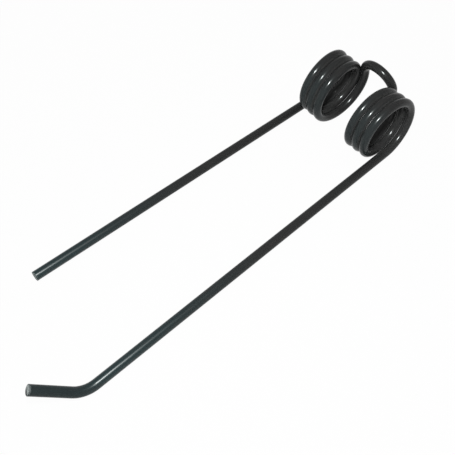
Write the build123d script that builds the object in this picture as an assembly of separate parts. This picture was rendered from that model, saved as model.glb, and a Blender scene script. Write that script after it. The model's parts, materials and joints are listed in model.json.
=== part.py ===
from build123d import *
import os
from math import atan2, ceil, cos, degrees, pi, radians, sin, sqrt

# Double spring tine for a hay rake or tedder: one length of round spring wire,
# wound into two mirrored coils that are joined by a U-shaped clamping loop.
# Two tines run forward from the coils; the longer one has a bent tip.
# +X runs along the coils towards the bent tine, the tines point along -Y, +Z is up.
# The part lies as it does on a flat floor. All lengths are in mm, all angles in degrees.
# The origin is the centre of the clamping loop, where the clamp bolt goes through.

# Wire
wire_diameter = 9.5
end_chamfer = 0.5

# Coils: the winding angle runs from the foot of the tine to the start of the loop,
# and the cant lifts the outer end of each coil's axis
coil_inner_diameter = 54.5
coil_pitch = 10.4
coil_winding = 1080.0
coil_cant = 3.0
coil_stretch = 90.0

# Clamping loop between the coils: each side rises in a wide bend behind its coil, and
# the arch is a half-circle between them. The width is taken at the ends of the coils.
loop_width = 45.0
loop_rise_radius = 31.0
loop_lean = 23.0

# Right tine, with the bent tip
right_tine_length = 380.0
tip_bend_radius = 23.0
tip_bend_angle = 45.0
tip_turn_in = 40.0
tip_length = 36.0

# Left tine, straight, set slightly inwards and upwards at its foot
left_tine_length = 362.0
left_tine_rise = 0.8
left_tine_set = 4.5
left_set_radius = 60.0

# Values that follow from the sizes above
wire_radius = wire_diameter / 2
coil_radius = coil_inner_diameter / 2 + wire_radius
coil_end = radians(coil_winding)
cant = radians(coil_cant)
coil_axis = Vector(cos(cant), 0, sin(cant))
coil_down = Vector(sin(cant), 0, -cos(cant))
coil_back = Vector(0, 1, 0)


def turned(heading, towards, angle):
    """A heading turned by an angle towards another direction."""
    side = (towards - heading * heading.dot(towards)).normalized()
    return heading * cos(angle) + side * sin(angle)


def bend(start, heading, new_heading, inner_radius):
    """Arc of the wire's centre line that turns one heading into another, and its end."""
    angle = radians(heading.get_angle(new_heading))
    side = turned(heading, new_heading, pi / 2)
    radius = inner_radius + wire_radius
    end = start + heading * radius * sin(angle) + side * radius * (1 - cos(angle))
    return Edge.make_tangent_arc(start, heading, end), end


def arc_pair(start, heading, end, end_heading):
    """Two arcs that meet smoothly and join two points with their headings."""
    chord = end - start
    both = heading + end_heading
    spare = 4 - both.dot(both)
    along = chord.dot(both)
    reach = (sqrt(along**2 + spare * chord.dot(chord)) - along) / spare
    corner = start + heading * reach
    end_corner = end - end_heading * reach
    joint = (corner + end_corner) / 2
    joint_heading = (end_corner - corner).normalized()
    return [Edge.make_tangent_arc(start, heading, joint), Edge.make_tangent_arc(joint, joint_heading, end)]


def coil_spoke(angle):
    """Vector from the right coil's axis to the wire; 0 is straight down, a quarter turn is the back."""
    return coil_radius * (cos(angle) * coil_down + sin(angle) * coil_back)


def coil_heading(angle):
    """Direction of the wire in the right coil, wound from the tine towards the loop."""
    round_axis = coil_radius * (cos(angle) * coil_back - sin(angle) * coil_down)
    return (round_axis - coil_axis * coil_pitch / (2 * pi)).normalized()


def coil_point(angle):
    """Centre of the wire in the right coil at a winding angle."""
    inner_end = Vector(loop_width / 2 - coil_spoke(coil_end).X, 0, 0)
    return inner_end + coil_axis * coil_pitch * (coil_end - angle) / (2 * pi) + coil_spoke(angle)


def coil_edges(start_angle):
    """Right coil from the foot of its tine to the start of the loop.

    Each stretch starts and ends on the helix with the helix's heading, and its
    two arcs keep the wire within 0.02 mm of the helix in between.
    """
    stretches = ceil((coil_end - start_angle) / radians(coil_stretch))
    step = (coil_end - start_angle) / stretches
    edges = []
    for number in range(stretches):
        start = start_angle + number * step
        end = start + step
        edges += arc_pair(coil_point(start), coil_heading(start), coil_point(end), coil_heading(end))
    return edges


def loop_edges():
    """Right half of the clamping loop: the rise behind the coil, then a quarter of a circle."""
    lean = radians(loop_lean)
    rise_heading = Vector(0, -sin(lean), cos(lean))
    rise, arch_start = bend(coil_point(coil_end), coil_heading(coil_end), rise_heading, loop_rise_radius)
    arch, arch_top = bend(arch_start, rise_heading, Vector(-1, 0, 0), arch_start.X - wire_radius)
    return [rise, arch], arch_start


def right_tine_edges():
    """Long tine: straight, then the bend, then the tip."""
    foot = coil_point(0)
    heading = coil_heading(0) * -1
    bend_start = foot + heading * right_tine_length
    up = turned(heading, Vector(0, 0, 1), pi / 2)
    inwards = heading.cross(up) if heading.cross(up).X < 0 else up.cross(heading)
    bend_side = turned(up, inwards, radians(tip_turn_in))
    tip_heading = turned(heading, bend_side, radians(tip_bend_angle))
    corner, tip_start = bend(bend_start, heading, tip_heading, tip_bend_radius)
    tip_end = tip_start + tip_heading * tip_length
    return [Edge.make_line(foot, bend_start), corner, Edge.make_line(tip_start, tip_end)]


def left_tine_edges(start_angle):
    """Straight tine, drawn on the right like its coil and mirrored with it."""
    foot = coil_point(start_angle)
    heading = coil_heading(start_angle) * -1
    set_heading = turned(heading, coil_axis * -1, radians(left_tine_set))
    corner, straight_start = bend(foot, heading, set_heading, left_set_radius)
    return [corner, Edge.make_line(straight_start, straight_start + set_heading * left_tine_length)]


def rest_tilt(left_start):
    """Small turn about X that lays the coils and the lower tine on the floor together."""
    coil_bottom = coil_point(2 * pi * (coil_winding // 360))
    slopes = []
    for point in [right_tine_edges()[0] @ 1, left_tine_edges(left_start)[-1] @ 1]:
        slopes.append(atan2(point.Z - coil_bottom.Z, coil_bottom.Y - point.Y))
    return degrees(min(slopes))


def spring_tine():
    """The whole tine: one round section swept along one unbroken centre line."""
    left_start = -radians(left_tine_rise)
    loop, arch_start = loop_edges()
    right_half = coil_edges(0) + loop + right_tine_edges()
    left_half = coil_edges(left_start) + loop + left_tine_edges(left_start)
    centre_line = Wire(right_half + [edge.mirror(Plane.YZ) for edge in left_half])
    section = Plane(origin=centre_line @ 0, z_dir=centre_line % 0) * Circle(wire_radius)
    wire = sweep(section, path=centre_line)
    cut_ends = wire.faces().filter_by(GeomType.PLANE)
    wire = chamfer([edge for face in cut_ends for edge in face.edges()], end_chamfer)
    loop_centre = Vector(0, arch_start.Y, arch_start.Z)
    return Rot(rest_tilt(left_start), 0, 0) * Pos(-loop_centre) * wire


os.makedirs("parts", exist_ok=True)
export_step(spring_tine(), "parts/spring_tine.step")
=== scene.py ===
import json
from copy import copy
from math import atan2, ceil, cos, pi, radians, sin, tau

import bmesh
import bpy
from bpy.props import FloatProperty, FloatVectorProperty, IntProperty, PointerProperty
from mathutils import Matrix, Vector


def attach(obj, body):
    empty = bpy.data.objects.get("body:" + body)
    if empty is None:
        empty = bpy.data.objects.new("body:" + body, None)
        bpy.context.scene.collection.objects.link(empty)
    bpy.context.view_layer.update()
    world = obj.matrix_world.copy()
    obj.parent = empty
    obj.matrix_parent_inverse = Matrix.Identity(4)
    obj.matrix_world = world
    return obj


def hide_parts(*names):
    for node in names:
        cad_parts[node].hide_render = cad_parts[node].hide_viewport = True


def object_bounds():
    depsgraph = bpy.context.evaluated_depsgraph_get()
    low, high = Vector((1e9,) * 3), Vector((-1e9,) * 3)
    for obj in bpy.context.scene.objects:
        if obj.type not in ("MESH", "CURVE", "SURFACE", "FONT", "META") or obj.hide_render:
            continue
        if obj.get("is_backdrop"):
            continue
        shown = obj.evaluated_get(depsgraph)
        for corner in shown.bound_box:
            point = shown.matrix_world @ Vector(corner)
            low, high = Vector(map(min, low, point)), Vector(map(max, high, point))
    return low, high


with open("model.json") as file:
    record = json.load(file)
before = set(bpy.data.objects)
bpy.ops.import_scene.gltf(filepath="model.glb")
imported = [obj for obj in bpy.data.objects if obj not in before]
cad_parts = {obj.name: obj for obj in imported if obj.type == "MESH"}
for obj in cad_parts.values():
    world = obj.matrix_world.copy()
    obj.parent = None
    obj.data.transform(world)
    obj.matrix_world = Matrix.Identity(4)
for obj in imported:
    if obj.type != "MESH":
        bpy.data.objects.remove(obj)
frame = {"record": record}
cad_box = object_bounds()

bl_info = {
    "name": "Rake Spring Tine",
    "version": (1, 0, 0),
    "blender": (4, 5, 0),
    "location": "3D View > Sidebar > Spring Tine",
    "description": "Bends a double hay rake tine from one wire, paints it gloss black and lights it",
    "category": "Object",
}

# +X runs along the coils towards the bent tine, the tines point along -Y, +Z is up.
# The origin is the centre of the clamp loop. Lengths are in metres, angles in radians.
NODE = "spring_tine"
LOOP_AXIS = Vector(frame["record"]["mounts"][0]["axis"])
LARGEST_MISFIT = 0.0002
# Vertices and faces are put in order along this slanting direction
SORTING_DIRECTION = Vector((0.523, 0.811, 0.263))
# What the lamps are turned to
COILS_MIDDLE = Vector((0, -0.030, -0.017))

# How far up a coil's back the camera looks through the gaps between its turns
GAP_ANGLE = radians(52)
# The painted shadow on the floor behind these gaps, where its white glow is cut: its width as a
# share of the coil's, its length as a share of the coil's radius and a wire, and where its edge
# fades
PATCH_WIDTH = 0.76
PATCH_LENGTH = 1.12
PATCH_FADE = (0.80, 1.15)

# The looks of the paint change between the two values of each pair.
# Distance from a cut end, and from the wandering edge of its torn part
RIM_WEAR = (0.0006, 0.0017)
TEAR_EDGE = (-0.0012, 0.0002)
# Length of wire from the start of the tip's bend
TIP_ZONE = (-0.2255, 0.0145)
PAST_BEND = (-0.0105, 0.0245)
# Distance in front of the loop, in radii of the coil
COIL_FRONT = (1.3, 2.1)
# Distance from the wire's centre line, in radii of the wire
END_FACE = (0.80, 0.93)
TURN_SIDE = (0.70, 0.97)
BORE_SIDE = (-0.20, 0.80)


def length(name, metres, description):
    """A length that a user can change."""
    return FloatProperty(
        name=name,
        description=description,
        default=metres,
        precision=6,
        unit="LENGTH",
        subtype="DISTANCE",
    )


def angle(name, degrees, description):
    """An angle that a user can change."""
    return FloatProperty(
        name=name,
        description=description,
        default=radians(degrees),
        unit="ROTATION",
        subtype="ANGLE",
    )


def colour(name, red_green_blue, description):
    """A colour that a user can change, as linear red, green and blue."""
    return FloatVectorProperty(
        name=name,
        description=description,
        default=red_green_blue,
        size=3,
        min=0.0,
        max=1.0,
        subtype="COLOR",
    )


def share(name, value, description):
    """A number from 0 to 1 that a user can change."""
    return FloatProperty(
        name=name,
        description=description,
        default=value,
        min=0.0,
        max=1.0,
        subtype="FACTOR",
    )


class TineSizes(bpy.types.PropertyGroup):
    """The sizes that the wire is bent to."""

    wire_diameter: length("Wire diameter", 0.0095, "Diameter of the spring wire")
    end_rounding: length("End rounding", 0.0005, "Radius round the edge of both cut ends")
    coil_inner_diameter: length("Coil bore", 0.0545, "Free diameter inside both coils")
    coil_pitch: length("Coil pitch", 0.0104, "Distance from one turn of a coil to the next")
    coil_winding: angle("Coil winding", 1080, "Angle from the foot of the tine to the loop")
    coil_cant: angle("Coil cant", 3, "Lift of the outer end of each coil's axis")
    loop_width: length("Loop width", 0.045, "Width of the loop where it leaves the coils")
    loop_rise_radius: length("Rise radius", 0.031, "Inner radius of the loop's rise from the coils")
    loop_lean: angle("Loop lean", 23, "Forward lean of the loop")
    right_tine_length: length("Right tine", 0.380, "Straight stretch of the tine with the bent tip")
    tip_bend_radius: length("Tip bend radius", 0.023, "Inner radius of the bend before the tip")
    tip_bend_angle: angle("Tip bend", 45, "Angle between the right tine and its tip")
    tip_turn_in: angle("Tip turn in", 40, "Turn of the tip from upwards towards the other tine")
    tip_length: length("Tip length", 0.036, "Straight stretch after the bend")
    left_tine_length: length("Left tine", 0.362, "Straight stretch of the plain tine")
    left_tine_rise: angle("Left rise", 0.8, "How much further the left coil is wound")
    left_tine_set: angle("Left set", 4.5, "Inward set of the left tine at its foot")
    left_set_radius: length("Left set radius", 0.060, "Inner radius of the left tine's set")
    ring_sides: IntProperty(
        name="Sides",
        description="Number of flats that stand for the round wire",
        default=48,
        min=12,
        max=96,
    )
    ring_turn: angle("Turn per ring", 4, "Largest turn between two rings of the mesh")
    ring_spacing: length("Ring spacing", 0.008, "Largest distance between rings on a straight")


class TinePaint(bpy.types.PropertyGroup):
    """The finish of the wire."""

    black: colour("Black paint", (0.0240, 0.0244, 0.0243), "Gloss paint near the coils")
    # Paint towards the tips, tinted by a painted cool light that falls on the tips
    cool_lit_black: colour("Cool black", (0.0105, 0.0262, 0.0290), "Paint towards the tips")
    thin_paint: colour("Thin paint", (0.0400, 0.0335, 0.0320), "Paint where the coat is thin")
    thin_amount: share("Thin amount", 0.80, "How far the thin streaks show")
    scuff: colour("Scuff", (0.0620, 0.0600, 0.0580), "Fine rubbed marks from handling")
    scuff_amount: share("Scuff amount", 0.55, "How far the scuffs show")
    # The dust colour also carries painted light: it lifts the shade in the grooves and bores and
    # paints a sheen on the coils' fronts
    dust_and_painted_light: colour("Dust", (0.0600, 0.0610, 0.0600), "Fine dust, most of it between the turns")
    speck_amount: share("Speck amount", 0.30, "How far the specks of dust show")
    # Lightens the fronts of the coils towards the dust colour: a film of dust and a painted sheen of
    # cool light
    front_dust_and_sheen: share("Front dust", 0.10, "Thin film of dust on the front of the coils")
    cut_steel: colour("Cut steel", (0.4200, 0.4700, 0.4600), "Torn part of the sheared ends")
    roughness: share("Roughness", 0.215, "Roughness of the gloss paint on the coils")
    specular: share("Specular", 0.11, "Strength of the paint's reflection")
    tip_roughness: share("Tip roughness", 0.250, "Roughness of the paint towards the tips")
    tip_gloss: share("Tip gloss", 0.40, "Weight of the gloss skin where the paint ran to the tips")
    coat_width: length("Coat width", 0.0220, "Width of the thicker and thinner areas of the coat")
    cloud_width: length("Cloud width", 0.0045, "Width of the faint clouds in the paint")
    cloud_depth: length("Cloud depth", 0.000004, "Depth of these clouds")
    peel: length("Peel", 0.0030, "Width of the ripples in the paint")
    peel_depth: length("Peel depth", 0.000006, "Depth of the ripples in the paint")
    draw_width: length("Draw mark width", 0.0005, "Width of the marks from drawing the wire")
    draw_depth: length("Draw mark depth", 0.000002, "Depth of these marks")
    scuff_width: length("Scuff width", 0.0011, "Width of the scuffs")
    speck_width: length("Speck width", 0.00022, "Width of the specks of dust")
    tear_width: length("Tear width", 0.0009, "Width of the tears in the sheared ends")
    tear_depth: length("Tear depth", 0.00022, "Depth of these tears")
    tear_reach: length("Tear reach", 0.0022, "How far the tears' edge wanders over the cut face")


class TineStage(bpy.types.PropertyGroup):
    """The camera, the lamps, the floor and the surroundings."""

    camera_azimuth: angle("Azimuth", 45.524, "Direction of the camera round the part")
    camera_elevation: angle("Elevation", 55.445, "Height of the camera above the horizon")
    camera_roll: angle("Roll", 5.0425, "Turn of the camera about its own line of sight")
    camera_distance: length("Distance", 0.6016, "Distance from the camera to its target")
    camera_target: FloatVectorProperty(
        name="Target",
        description="Point on the floor that the camera looks at",
        default=(0.01922, -0.22491, -0.05467),
        size=3,
        precision=4,
        unit="LENGTH",
        subtype="TRANSLATION",
    )
    camera_lens: FloatProperty(
        name="Lens",
        description="Focal length in millimetres on a sensor 36 mm wide",
        default=48.411,
        min=1.0,
    )
    floor_colour: colour("Floor", (0.65, 0.65, 0.65), "Colour of the floor")
    floor_radius: length("Floor radius", 4.0, "Radius of the round floor")
    floor_glow: share("Floor glow", 0.97, "How far the floor shows as pure white")
    gap_glow: share("Gap glow", 0.045, "The part of that glow that shows through the coils' gaps")
    tent_light: share("Tent light", 0.46, "Even light from all sides")
    backdrop_white: share("Backdrop white", 0.985, "Brightness of the backdrop at the horizon")
    backdrop_top: angle("Backdrop top", 8, "Height over the horizon where the backdrop fades")
    backdrop_fade: angle("Backdrop fade", 16, "Angle over which it fades into the tent")
    front_lamp_rise: length("Front lamp rise", 0.100, "Height of the lamp over the lens")
    front_lamp_shift: length("Front lamp shift", -0.015, "Shift of the lamp to the right")
    front_lamp_size: length("Front lamp size", 0.040, "Diameter of the lamp over the camera")
    front_lamp_power: FloatProperty(
        name="Front lamp power",
        description="Power of the lamp over the camera, in watts",
        default=3.1,
        min=0.0,
    )
    glint_power: FloatProperty(
        name="Glint power",
        description="Power of the lamp's second part, which only glossy paint mirrors, in watts",
        default=13.0,
        min=0.0,
    )
    glint_colour: colour("Glint", (0.93, 1.0, 0.99), "Colour of the mirrored part of the lamp")


def turned(heading, towards, turn):
    """A heading turned by an angle towards another direction."""
    side = (towards - heading * heading.dot(towards)).normalized()
    return heading * cos(turn) + side * sin(turn)


class WireEnd:
    """The open end of a growing wire: a ring of edges with a place and a heading.

    Each vertex also keeps its place in the wire as it was before bending: the
    distance along it, and two coordinates across its section, of which the first
    runs along the coil and the second away from the coil's axis. The paint uses them.
    """

    def __init__(self, mesh, sizes, place, heading, coil_axis):
        self.mesh = mesh
        self.sizes = sizes
        self.radius = sizes.wire_diameter / 2
        self.place = place
        self.heading = heading
        self.layer = mesh.verts.layers.float_vector["wire_place"]
        sideways = turned(heading, coil_axis, pi / 2)
        axes = Matrix((sideways, heading.cross(sideways), heading)).transposed()
        matrix = Matrix.Translation(place) @ axes.to_4x4()
        ring = bmesh.ops.create_circle(
            mesh, cap_ends=False, radius=self.radius, segments=sizes.ring_sides, matrix=matrix
        )["verts"]
        for vert in ring:
            across = matrix.inverted() @ vert.co
            vert[self.layer] = (0, across.x, across.y)
        self.ring = ring + list({edge for vert in ring for edge in vert.link_edges})
        self.direction = 1

    def backwards(self):
        """The same ring as an end that grows the other way."""
        other = copy(self)
        other.heading = -self.heading
        other.direction = -self.direction
        return other

    def grow(self, steps, distance, centre, axis, turn=0.0, rise=0.0, slide=None):
        """Spins the ring on in equal steps and notes each new ring's place along the wire."""
        vector = slide if slide is not None else axis * rise
        first_new = len(self.mesh.verts)
        self.ring = bmesh.ops.spin(
            self.mesh,
            geom=self.ring,
            cent=centre,
            axis=axis,
            dvec=vector / steps,
            angle=turn,
            steps=steps,
            use_merge=False,
            use_duplicate=False,
            use_normal_flip=False,
        )["geom_last"]
        self.mesh.verts.ensure_lookup_table()
        for number, vert in enumerate(self.mesh.verts[first_new:]):
            rings_on = number // self.sizes.ring_sides + 1
            vert[self.layer].x += self.direction * distance * rings_on / steps
        rotation = Matrix.Rotation(turn, 3, axis)
        self.place = centre + rotation @ (self.place - centre) + vector
        self.heading = (rotation @ self.heading).normalized()

    def straight(self, distance):
        """A straight stretch."""
        steps = ceil(distance / self.sizes.ring_spacing)
        self.grow(steps, distance, self.place, self.heading, slide=self.heading * distance)

    def bend(self, towards, turn, inner_radius):
        """A bend of constant radius towards a direction."""
        side = turned(self.heading, towards, pi / 2)
        radius = inner_radius + self.radius
        steps = ceil(turn / self.sizes.ring_turn)
        self.grow(
            steps,
            radius * turn,
            self.place + side * radius,
            self.heading.cross(side).normalized(),
            turn=turn,
        )

    def bend_to(self, new_heading, inner_radius):
        """A bend of constant radius that ends in a given heading."""
        self.bend(new_heading, self.heading.angle(new_heading), inner_radius)

    def cut_off(self):
        """A last short stretch, then the rounded edge of the end and its flat face."""
        rounding = self.sizes.end_rounding
        self.straight(rounding)
        rim_steps = 4
        forward = [rounding * sin(pi / 2 * step / rim_steps) for step in range(rim_steps + 1)]
        inward = [rounding * (1 - cos(pi / 2 * step / rim_steps)) for step in range(rim_steps + 1)]
        for step in range(1, rim_steps + 1):
            self.shrink(
                forward[step] - forward[step - 1],
                (self.radius - inward[step]) / (self.radius - inward[step - 1]),
            )
        flat_edge = 0.97
        self.shrink(0, flat_edge)
        bmesh.ops.contextual_create(self.mesh, geom=self.ring)

    def shrink(self, distance, factor):
        """One more ring, a little further on and smaller."""
        edges = [part for part in self.ring if isinstance(part, bmesh.types.BMEdge)]
        self.ring = bmesh.ops.extrude_edge_only(self.mesh, edges=edges)["geom"]
        self.ring = [part for part in self.ring if not isinstance(part, bmesh.types.BMFace)]
        verts = [part for part in self.ring if isinstance(part, bmesh.types.BMVert)]
        ends = set(verts)
        self.ring = verts + [
            part
            for part in self.ring
            if isinstance(part, bmesh.types.BMEdge) and ends.issuperset(part.verts)
        ]
        to_place = Matrix.Translation(-self.place)
        bmesh.ops.scale(self.mesh, vec=Vector((factor,) * 3), space=to_place, verts=verts)
        bmesh.ops.translate(self.mesh, vec=self.heading * distance, verts=verts)
        for vert in verts:
            vert[self.layer].x += self.direction * distance
            vert[self.layer].y *= factor
            vert[self.layer].z *= factor
        self.place = self.place + self.heading * distance


class Coil:
    """The right coil: its axis, and the wire's place and heading at a winding angle."""

    def __init__(self, sizes):
        cant = sizes.coil_cant
        self.end = sizes.coil_winding
        self.pitch = sizes.coil_pitch
        self.radius = (sizes.coil_inner_diameter + sizes.wire_diameter) / 2
        self.axis = Vector((cos(cant), 0, sin(cant)))
        self.down = Vector((sin(cant), 0, -cos(cant)))
        self.back = Vector((0, 1, 0))
        self.inner_end = Vector((sizes.loop_width / 2 - self.spoke(self.end).x, 0, 0))

    def spoke(self, winding):
        """From the axis to the wire; 0 is straight down, a quarter turn is the back."""
        return self.radius * (cos(winding) * self.down + sin(winding) * self.back)

    def heading(self, winding):
        """Direction of the wire, wound from the tine towards the loop."""
        around = self.radius * (cos(winding) * self.back - sin(winding) * self.down)
        return (around - self.axis * self.pitch / tau).normalized()

    def turn_length(self, winding):
        """Length of wire in a winding angle."""
        return winding * (self.radius**2 + (self.pitch / tau) ** 2) ** 0.5


def wind_coil(wire, coil, winding):
    """Winds the wire off the coil from its inner end, by a winding angle."""
    wire.grow(
        ceil(winding / wire.sizes.ring_turn),
        coil.turn_length(winding),
        coil.inner_end,
        coil.axis,
        turn=-winding,
        rise=coil.pitch * winding / tau,
    )


def bend_loop_half(wire, sizes):
    """Half the clamp loop: the rise behind the coil, a quarter of a circle, and where it starts."""
    lean = sizes.loop_lean
    wire.bend_to(Vector((0, -sin(lean), cos(lean))), sizes.loop_rise_radius)
    arch_start = wire.place.copy()
    wire.bend_to(Vector((-1, 0, 0)), arch_start.x - wire.radius)
    return arch_start


def finish_right_tine(wire, sizes):
    """The long tine with its bent tip."""
    wire.straight(sizes.right_tine_length)
    up = turned(wire.heading, Vector((0, 0, 1)), pi / 2)
    inwards = wire.heading.cross(up)
    inwards = inwards if inwards.x < 0 else -inwards
    wire.bend(turned(up, inwards, sizes.tip_turn_in), sizes.tip_bend_angle, sizes.tip_bend_radius)
    wire.straight(sizes.tip_length - sizes.end_rounding * 2)
    wire.cut_off()


def finish_left_tine(wire, sizes, coil):
    """The plain tine, bent on the right like its coil and mirrored with it."""
    wind_coil(wire, coil, sizes.left_tine_rise)
    wire.bend(-coil.axis, sizes.left_tine_set, sizes.left_set_radius)
    wire.straight(sizes.left_tine_length - sizes.end_rounding * 2)
    wire.cut_off()


def bend_half(mesh, sizes, coil):
    """Half the loop and a coil, the open end at the foot of its tine, and the arch's start."""
    start = coil.inner_end + coil.spoke(coil.end)
    to_loop = WireEnd(mesh, sizes, start, coil.heading(coil.end), coil.axis)
    to_loop.direction = -1
    to_tine = to_loop.backwards()
    arch_start = bend_loop_half(to_loop, sizes)
    wind_coil(to_tine, coil, coil.end)
    return to_tine, arch_start


def sort_mesh(mesh):
    """Puts the vertices and faces in the order of their places, the same in each run."""
    mesh.verts.sort(key=lambda vert: vert.co.dot(SORTING_DIRECTION))
    mesh.faces.sort(key=lambda face: face.calc_center_median().dot(SORTING_DIRECTION))


def bend_wire(mesh, sizes):
    """The whole tine in one mesh, joined at the middle of the loop.

    Gives half the loop's length, and the length of wire from the loop's middle to the
    left end and to the right end.
    """
    layer = mesh.verts.layers.float_vector.new("wire_place")
    coil = Coil(sizes)
    ends = []
    for side in (-1, 1):
        first_new = len(mesh.verts)
        to_tine, arch_start = bend_half(mesh, sizes, coil)
        if side < 0:
            finish_left_tine(to_tine, sizes, coil)
        else:
            finish_right_tine(to_tine, sizes)
        mesh.verts.ensure_lookup_table()
        half = mesh.verts[first_new:]
        loop_length = -min(vert[layer].x for vert in half)
        ends.append(loop_length + max(vert[layer].x for vert in half))
        for vert in half:
            vert[layer].x = side * (vert[layer].x + loop_length)
        bmesh.ops.scale(mesh, vec=(side, 1, 1), verts=half)
    tilt = atan2(LOOP_AXIS.z, LOOP_AXIS.y) - sizes.loop_lean
    to_centre = Matrix.Translation((0, -arch_start.y, -arch_start.z))
    bmesh.ops.transform(
        mesh, matrix=Matrix.Rotation(tilt, 4, "X") @ to_centre, verts=mesh.verts[:]
    )
    bmesh.ops.remove_doubles(mesh, verts=mesh.verts[:], dist=1e-6)
    bmesh.ops.recalc_face_normals(mesh, faces=mesh.faces[:])
    sort_mesh(mesh)
    return loop_length, ends


class Socket:
    """A node's output, which Python's operators turn into Math nodes."""

    def __init__(self, tree, output):
        self.tree = tree
        self.output = output

    def maths(self, operation, *values):
        """A Math node on this and other values."""
        return self.tree.node("ShaderNodeMath", {"operation": operation}, dict(enumerate(values)))

    def __add__(self, other):
        return self.maths("ADD", self, other)

    def __radd__(self, other):
        return self.maths("ADD", other, self)

    def __sub__(self, other):
        return self.maths("SUBTRACT", self, other)

    def __rsub__(self, other):
        return self.maths("SUBTRACT", other, self)

    def __mul__(self, other):
        return self.maths("MULTIPLY", self, other)

    def __rmul__(self, other):
        return self.maths("MULTIPLY", other, self)

    def __truediv__(self, other):
        return self.maths("DIVIDE", self, other)

    def __rtruediv__(self, other):
        return self.maths("DIVIDE", other, self)

    def __pow__(self, other):
        return self.maths("POWER", self, other)

    def __rpow__(self, other):
        return self.maths("POWER", other, self)

    def __abs__(self):
        return self.maths("ABSOLUTE", self)

    def step(self, low, high):
        """0 below one value, 1 above another and smooth between them."""
        return self.tree.node(
            "ShaderNodeMapRange",
            {"interpolation_type": "SMOOTHSTEP"},
            {"Value": self, "From Min": low, "From Max": high},
        )


class Tree:
    """A node tree that is written as expressions."""

    def __init__(self, tree):
        self.tree = tree
        tree.nodes.clear()

    def node(self, kind, settings=None, inputs=None, output=0):
        """Any node: its settings first, then its sockets by number or name."""
        node = self.tree.nodes.new(kind)
        for name, value in (settings or {}).items():
            setattr(node, name, value)
        for name, value in (inputs or {}).items():
            if isinstance(value, Socket):
                self.tree.links.new(value.output, node.inputs[name])
            else:
                node.inputs[name].default_value = value
        return Socket(self, node.outputs[output]) if node.outputs else node

    def parts(self, vector):
        """The three coordinates of a vector."""
        split = self.node("ShaderNodeSeparateXYZ", inputs={0: vector}).output.node
        return [Socket(self, output) for output in split.outputs]

    def stretched(self, vector, factors):
        """A vector with each coordinate multiplied."""
        return self.node("ShaderNodeVectorMath", {"operation": "MULTIPLY"}, {0: vector, 1: factors})

    def noise(self, vector, width, detail=2.0, roughness=0.5):
        """Noise from 0 to 1 whose ripples are about as wide as a given length."""
        return self.node(
            "ShaderNodeTexNoise",
            {"normalize": True},
            {"Vector": vector, "Scale": 1 / width, "Detail": detail, "Roughness": roughness},
        )

    def blend(self, factor, first, second):
        """A colour between two colours."""
        return self.node(
            "ShaderNodeMix", {"data_type": "RGBA"}, {0: factor, 6: first, 7: second}, output=2
        )


def opaque(red_green_blue):
    """A colour with an alpha of 1."""
    return (*red_green_blue, 1.0)


class WireMasks:
    """Masks for the paint, each of them 1 on one part of the wire and 0 on the rest."""

    def __init__(self, tree, sizes, loop_half, ends):
        self.place = tree.node(
            "ShaderNodeAttribute",
            {"attribute_type": "GEOMETRY", "attribute_name": "wire_place"},
            output="Vector",
        )
        self.along, self.sideways, self.outwards = tree.parts(self.place)
        self.coil = Coil(sizes)
        self.wire_radius = sizes.wire_diameter / 2
        self.mark_ends(ends)
        self.mark_coils(tree, loop_half)
        self.mark_tips(loop_half, sizes.right_tine_length)

    def in_radii(self, low_and_high):
        """Two distances from the centre line that are given in radii of the wire."""
        return [self.wire_radius * value for value in low_and_high]

    def mark_ends(self, ends):
        """The flat face of each cut end, and the worn rim round it."""
        from_centre = (self.sideways * self.sideways + self.outwards * self.outwards) ** 0.5
        self.end_face = 1 - from_centre.step(*self.in_radii(END_FACE))
        from_left_end = self.along + ends[0]
        from_right_end = ends[1] - self.along
        from_end = from_left_end.maths("MINIMUM", from_left_end, from_right_end)
        self.worn_rim = 1 - from_end.step(*RIM_WEAR)

    def mark_coils(self, tree, loop_half):
        """The front of the coils, their bores and the grooves between their turns."""
        wound = abs(self.along) - loop_half
        turn = self.coil.turn_length(tau)
        last = self.coil.turn_length(self.coil.end)
        fade = self.wire_radius * 2
        before_end = 1 - wound.step(last, last + fade)
        in_coil = wound.step(-fade, 0) * before_end
        front = tree.parts(tree.node("ShaderNodeTexCoord", output="Object"))[1] * -1
        front_from, front_to = (self.coil.radius * radii for radii in COIL_FRONT)
        self.coil_front = front.step(front_from, front_to) * in_coil
        self.bore = (self.outwards * -1).step(*self.in_radii(BORE_SIDE)) * in_coil
        inner_side = (self.sideways * -1).step(*self.in_radii(TURN_SIDE))
        outer_side = self.sideways.step(*self.in_radii(TURN_SIDE))
        inner_turns = wound.step(turn - fade, turn) * before_end
        outer_turns = wound.step(-fade, 0) * (1 - wound.step(last - turn, last - turn + fade))
        self.groove = inner_side * inner_turns + outer_side * outer_turns

    def mark_tips(self, loop_half, tine_length):
        """The last stretch of both tines, and the tip past its bend."""
        bend_start = loop_half + self.coil.turn_length(self.coil.end) + tine_length
        past_start = abs(self.along) - bend_start
        self.tip_zone = past_start.step(*TIP_ZONE)
        self.past_bend = past_start.step(*PAST_BEND)


class PaintNoise:
    """The noises that the finish is made of, all on the place in the unbent wire."""

    def __init__(self, tree, paint, place):
        streaks = tree.stretched(place, (0.02, 1, 1))
        short_streaks = tree.stretched(place, (0.12, 1, 1))
        self.draw_marks = tree.noise(streaks, paint.draw_width, 3.0, 0.6)
        self.coat = tree.noise(place, paint.coat_width, 3.0, 0.55)
        self.cloud = tree.noise(place, paint.cloud_width, 2.0)
        self.ripple = tree.noise(place, paint.peel, 2.0, 0.45)
        self.scuffs = tree.noise(short_streaks, paint.scuff_width, 4.0, 0.70)
        self.grain = tree.noise(place, paint.speck_width, 1.0)
        self.tears = tree.noise(place, paint.tear_width, 4.0, 0.65)


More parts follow.
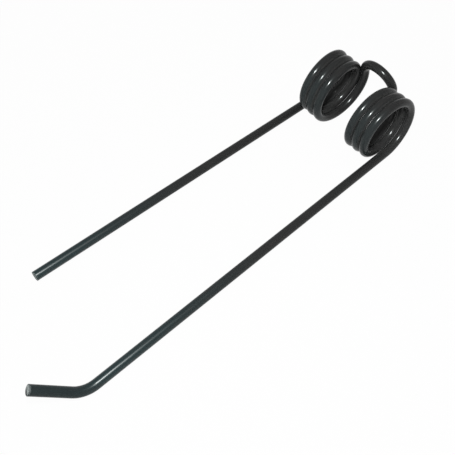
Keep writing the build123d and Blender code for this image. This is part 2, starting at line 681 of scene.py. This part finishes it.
def paint_colour(tree, paint, masks, noise):
    """The colour of the paint with its marks and dust, its painted cool light and the painted light
    in its grooves, bores and fronts, and where the dust and scuffs make it dull.
    """
    # Painted cool light: a cool tint on the tips, less past the bend, with a little random tone from
    # the coat
    cool_light_share = masks.tip_zone * (0.90 - masks.past_bend * 0.40)
    # The same painted cool light on the fronts of the coils
    cool_light_share = cool_light_share + masks.coil_front * 0.36 + noise.coat.step(0.40, 0.75) * 0.10
    body = tree.blend(cool_light_share, opaque(paint.black), opaque(paint.cool_lit_black))
    thin = noise.draw_marks.step(0.50, 0.72) * noise.coat.step(0.38, 0.62)
    body = tree.blend(thin * paint.thin_amount, body, opaque(paint.thin_paint))
    scuffs = noise.scuffs.step(0.62, 0.70) * noise.cloud.step(0.48, 0.66) * paint.scuff_amount
    body = tree.blend(scuffs, body, opaque(paint.scuff))
    specks = noise.grain.step(0.74, 0.80) * noise.cloud.step(0.50, 0.75) * paint.speck_amount
    # Specks of dust, and dust and painted light between the turns: the grooves are painted lighter,
    # which lifts their shade
    dust_and_groove_light = specks + masks.groove * (0.55 + noise.cloud * 0.45)
    # Dust and painted light in the coils' bores: a lighter colour lifts their shade
    bore_dust_and_light = masks.bore * (0.16 + noise.coat.step(0.30, 0.70) * 0.10)
    # The lighter fronts of the coils: dust and a painted sheen
    lifted_bores_and_fronts = bore_dust_and_light + masks.coil_front * paint.front_dust_and_sheen
    body = tree.blend(dust_and_groove_light + lifted_bores_and_fronts, body, opaque(paint.dust_and_painted_light))
    return body, dust_and_groove_light + scuffs


def paint_roughness(paint, masks, noise):
    """The roughness of clean paint, a little higher towards the tips."""
    roughness = paint.roughness + masks.tip_zone * (paint.tip_roughness - paint.roughness)
    return roughness + (noise.coat - 0.5) * 0.06 + (noise.draw_marks - 0.5) * 0.06


def paint_height(paint, noise):
    """The fine relief of the paint over the drawn wire."""
    height = noise.ripple * paint.peel_depth + noise.draw_marks * paint.draw_depth
    return height + noise.cloud * paint.cloud_depth


def paint_material(sizes, paint, loop_half, ends):
    """Gloss black dip paint on drawn wire, worn through at the sheared ends."""
    material = bpy.data.materials.new("gloss_black_paint")
    material.use_nodes = True
    tree = Tree(material.node_tree)
    masks = WireMasks(tree, sizes, loop_half, ends)
    noise = PaintNoise(tree, paint, masks.place)
    colour_of_paint, dull = paint_colour(tree, paint, masks, noise)

    tears = noise.tears
    torn = (tears * paint.tear_reach - masks.outwards).step(*TEAR_EDGE) * masks.end_face
    rim = (masks.worn_rim - masks.end_face) * tears.step(0.40, 0.60)
    bare = torn * (0.55 + tears * 0.45) + rim * 0.28
    base_colour = tree.blend(bare, colour_of_paint, opaque(paint.cut_steel))
    wear = masks.worn_rim * 0.40 + torn * 0.20 + dull * 0.45
    height = paint_height(paint, noise) + torn * tears * paint.tear_depth
    gloss_skin = masks.tip_zone * (1 - masks.past_bend * 0.75)
    shader = tree.node(
        "ShaderNodeBsdfPrincipled",
        inputs={
            "Base Color": base_colour,
            "Roughness": paint_roughness(paint, masks, noise) + wear,
            "Specular IOR Level": paint.specular,
            "Coat Weight": gloss_skin * paint.tip_gloss * (1 - masks.worn_rim),
            "Coat Roughness": paint.tip_roughness,
            "Normal": tree.node(
                "ShaderNodeBump", inputs={"Strength": 1.0, "Distance": 1.0, "Height": height}
            ),
        },
    )
    tree.node("ShaderNodeOutputMaterial", inputs={"Surface": shader})
    return material


def seen_or_mirrored(tree):
    """1 for rays that show or mirror the floor, and 0 for the light that the floor sheds."""
    path = tree.node("ShaderNodeLightPath").output.node
    seen = Socket(tree, path.outputs["Is Camera Ray"])
    for name in ("Is Glossy Ray", "Is Transmission Ray"):
        seen = seen.maths("MAXIMUM", seen, Socket(tree, path.outputs[name]))
    return seen


def shadow_patch_behind_coils(tree, stage, sizes):
    """1 on the floor that the camera sees only through the gaps between the turns: a painted shadow.

    Each coil gets one round patch, where the sight line through the middle of its
    back meets the floor. Turns and the patch lean alike, so the patch stays hidden.
    """
    coil = Coil(sizes)
    wire = sizes.wire_diameter
    half_width = (coil.pitch * coil.end / tau + wire) / 2
    gap_x = coil.inner_end.x - wire / 2 + half_width
    gap_y = coil.radius * (sin(GAP_ANGLE) - 1)
    gap_height = wire / 2 + coil.radius * (1 - cos(GAP_ANGLE))
    camera_place = place_of_camera(stage)
    x, y = tree.parts(tree.node("ShaderNodeTexCoord", output="Object"))[:2]
    hidden = 0
    for side in (-1, 1):
        gap = Vector((side * gap_x, gap_y, cad_box[0].z + gap_height))
        sight = gap - camera_place
        seen = gap + sight * (gap_height / -sight.z)
        slant = sight.x / sight.y / 2
        lengthways = (y - seen.y) / ((coil.radius + wire) * PATCH_LENGTH)
        across = (x - seen.x - (y - seen.y) * slant) / (half_width * PATCH_WIDTH)
        away = lengthways * lengthways + across * across
        hidden = 1 - away.step(*PATCH_FADE) + hidden
    return hidden


def floor_material(stage, sizes):
    """Pale floor that shows as white and keeps part of the object's shadow, with a painted shadow
    behind the coils.
    """
    material = bpy.data.materials.new("pale_floor")
    material.use_nodes = True
    tree = Tree(material.node_tree)
    dull = tree.node("ShaderNodeBsdfDiffuse", inputs={"Color": opaque(stage.floor_colour)})
    white = tree.node("ShaderNodeEmission", inputs={"Strength": 1.0})
    # Painted shadow: behind the coils the floor's white glow is cut, all but the gap glow, so its
    # real shade shows
    behind = shadow_patch_behind_coils(tree, stage, sizes) * (1 - stage.gap_glow)
    glow = seen_or_mirrored(tree) * stage.floor_glow * (1 - behind)
    shader = tree.node("ShaderNodeMixShader", inputs={0: glow, 1: dull, 2: white})
    tree.node("ShaderNodeOutputMaterial", inputs={"Surface": shader})
    return material


def make_floor(stage, sizes):
    """A wide round floor at the height that the part lies on."""
    mesh = bmesh.new()
    bmesh.ops.create_circle(
        mesh,
        cap_ends=True,
        radius=stage.floor_radius,
        segments=96,
        matrix=Matrix.Translation((0, 0, cad_box[0].z)),
    )
    data = bpy.data.meshes.new("floor")
    mesh.to_mesh(data)
    mesh.free()
    data.materials.append(floor_material(stage, sizes))
    floor = bpy.data.objects.new("floor", data)
    bpy.context.scene.collection.objects.link(floor)
    floor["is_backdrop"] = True


def camera_axes(stage):
    """The camera's right, its up and the direction back from its target."""
    azimuth = stage.camera_azimuth
    elevation = stage.camera_elevation
    back = Vector(
        (sin(azimuth) * cos(elevation), -cos(azimuth) * cos(elevation), sin(elevation))
    )
    level = Vector((cos(azimuth), sin(azimuth), 0))
    upright = back.cross(level)
    right = level * cos(stage.camera_roll) + upright * sin(stage.camera_roll)
    return right, back.cross(right), back


def place_of_camera(stage):
    """Where the camera stands."""
    return Vector(stage.camera_target) + camera_axes(stage)[2] * stage.camera_distance


def make_camera(stage):
    """The camera at the photograph's viewing angle."""
    data = bpy.data.cameras.new("camera")
    data.sensor_width = 36.0
    data.lens = stage.camera_lens
    data.clip_start = 0.01
    camera = bpy.data.objects.new("camera", data)
    bpy.context.scene.collection.objects.link(camera)
    turn = Matrix(camera_axes(stage)).transposed().to_4x4()
    camera.matrix_world = Matrix.Translation(place_of_camera(stage)) @ turn
    bpy.context.scene.camera = camera


def make_lamp(name, stage, power):
    """A round lamp over the camera's lens that faces the coils."""
    data = bpy.data.lights.new(name, "AREA")
    data.shape = "DISK"
    data.size = stage.front_lamp_size
    data.energy = power
    lamp = bpy.data.objects.new(name, data)
    bpy.context.scene.collection.objects.link(lamp)
    right, up = camera_axes(stage)[:2]
    place = place_of_camera(stage) + right * stage.front_lamp_shift + up * stage.front_lamp_rise
    turn = (place - COILS_MIDDLE).to_track_quat("Z", "Y").to_matrix().to_4x4()
    lamp.matrix_world = Matrix.Translation(place) @ turn
    return lamp


def make_lamps(stage):
    """The lamp that lights the part, and its glint, which only glossy paint mirrors."""
    make_lamp("front_lamp", stage, stage.front_lamp_power)
    glint = make_lamp("glint", stage, stage.glint_power)
    glint.visible_diffuse = False
    glint.data.color = stage.glint_colour


def make_world(stage):
    """Even surroundings like a light tent, with a pale backdrop round the horizon."""
    world = bpy.data.worlds.new("light_tent")
    world.use_nodes = True
    tree = Tree(world.node_tree)
    tent, backdrop = (
        tree.node("ShaderNodeBackground", inputs={"Color": (1, 1, 1, 1), "Strength": strength})
        for strength in (stage.tent_light, stage.backdrop_white)
    )
    height = tree.parts(tree.node("ShaderNodeTexCoord", output="Generated"))[2]
    fades_out = stage.backdrop_top + stage.backdrop_fade
    low = 1 - height.step(sin(stage.backdrop_top), sin(fades_out))
    shader = tree.node(
        "ShaderNodeMixShader", inputs={0: seen_or_mirrored(tree) * low, 1: tent, 2: backdrop}
    )
    tree.node("ShaderNodeOutputWorld", inputs={"Surface": shader})
    bpy.context.scene.world = world


class TINE_OT_wire(bpy.types.Operator):
    """Bend the whole tine from one round wire and paint it"""

    bl_idname = "tine.wire"
    bl_label = "Bend the Wire"

    def execute(self, context):
        sizes = context.scene.tine_sizes
        mesh = bmesh.new()
        loop_half, ends = bend_wire(mesh, sizes)
        for face in mesh.faces:
            face.smooth = True
        data = bpy.data.meshes.new("bent_wire")
        mesh.to_mesh(data)
        mesh.free()
        data.materials.append(paint_material(sizes, context.scene.tine_paint, loop_half, ends))
        wire = bpy.data.objects.new("bent_wire", data)
        context.scene.collection.objects.link(wire)
        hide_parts(NODE)
        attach(wire, "root")
        made_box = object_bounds()
        for made, wanted in zip(made_box, cad_box):
            if (made - wanted).length > LARGEST_MISFIT:
                raise RuntimeError(f"the wire's box has {made[:]} where the frame has {wanted[:]}")
        return {"FINISHED"}


class TINE_OT_stage(bpy.types.Operator):
    """Set up the floor, the light tent, the lamps and the camera"""

    bl_idname = "tine.stage"
    bl_label = "Set the Stage"

    def execute(self, context):
        scene = context.scene
        stage = scene.tine_stage
        make_floor(stage, scene.tine_sizes)
        make_world(stage)
        make_camera(stage)
        make_lamps(stage)
        scene.view_settings.view_transform = "Standard"
        return {"FINISHED"}


class TINE_PT_sidebar(bpy.types.Panel):
    """Sizes, finish and stage of the rake spring tine"""

    bl_label = "Rake Spring Tine"
    bl_space_type = "VIEW_3D"
    bl_region_type = "UI"
    bl_category = "Spring Tine"

    def draw(self, context):
        scene = context.scene
        groups = (
            ("Wire", scene.tine_sizes, TINE_OT_wire),
            ("Paint", scene.tine_paint, None),
            ("Stage", scene.tine_stage, TINE_OT_stage),
        )
        for title, group, operator in groups:
            box = self.layout.box()
            box.label(text=title)
            for name in group.bl_rna.properties.keys():
                if name not in ("rna_type", "name"):
                    box.prop(group, name)
            if operator:
                box.operator(operator.bl_idname)


CLASSES = (TineSizes, TinePaint, TineStage, TINE_OT_wire, TINE_OT_stage, TINE_PT_sidebar)
GROUPS = {"tine_sizes": TineSizes, "tine_paint": TinePaint, "tine_stage": TineStage}


def register():
    for cls in CLASSES:
        bpy.utils.register_class(cls)
    for name, group in GROUPS.items():
        setattr(bpy.types.Scene, name, PointerProperty(type=group))


def unregister():
    for name in GROUPS:
        delattr(bpy.types.Scene, name)
    for cls in reversed(CLASSES):
        bpy.utils.unregister_class(cls)


def main():
    """Makes the painted wire and its stage."""
    register()
    bpy.ops.tine.wire()
    bpy.ops.tine.stage()


if __name__ == "__main__":
    main()
